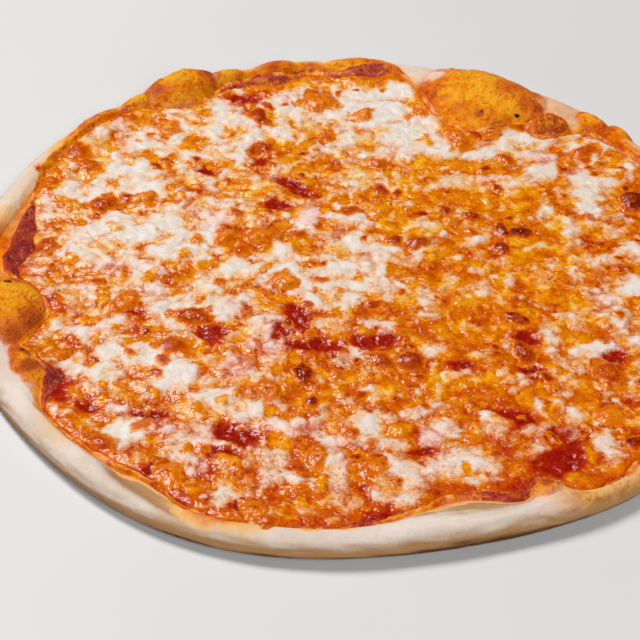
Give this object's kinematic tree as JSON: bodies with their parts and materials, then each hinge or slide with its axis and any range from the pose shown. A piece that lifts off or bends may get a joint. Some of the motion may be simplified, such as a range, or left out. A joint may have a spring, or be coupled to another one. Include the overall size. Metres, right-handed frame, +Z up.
{
  "type": "tomato and cheese pizza",
  "caption": "Thin round pizza with a puffed, floury rim, a layer of tomato sauce and melted, browned cheese; whole, uncut, without a plate.",
  "frame": {"origin": "centre of the flat underside of the dough", "axes": "+Z up through the toppings; +Y towards the back of the pizza, away from the picture's camera; +X to the picture's right"},
  "size_m": [0.3035, 0.3012, 0.0176],
  "materials": {
    "baked_dough": "matt, floury",
    "tomato_sauce": "wet",
    "melted_cheese": "oily"
  },
  "bodies": {
    "root": {"crust": "baked_dough", "tomato_sauce": "tomato_sauce", "melted_cheese": "melted_cheese"}
  },
  "joints": []
}
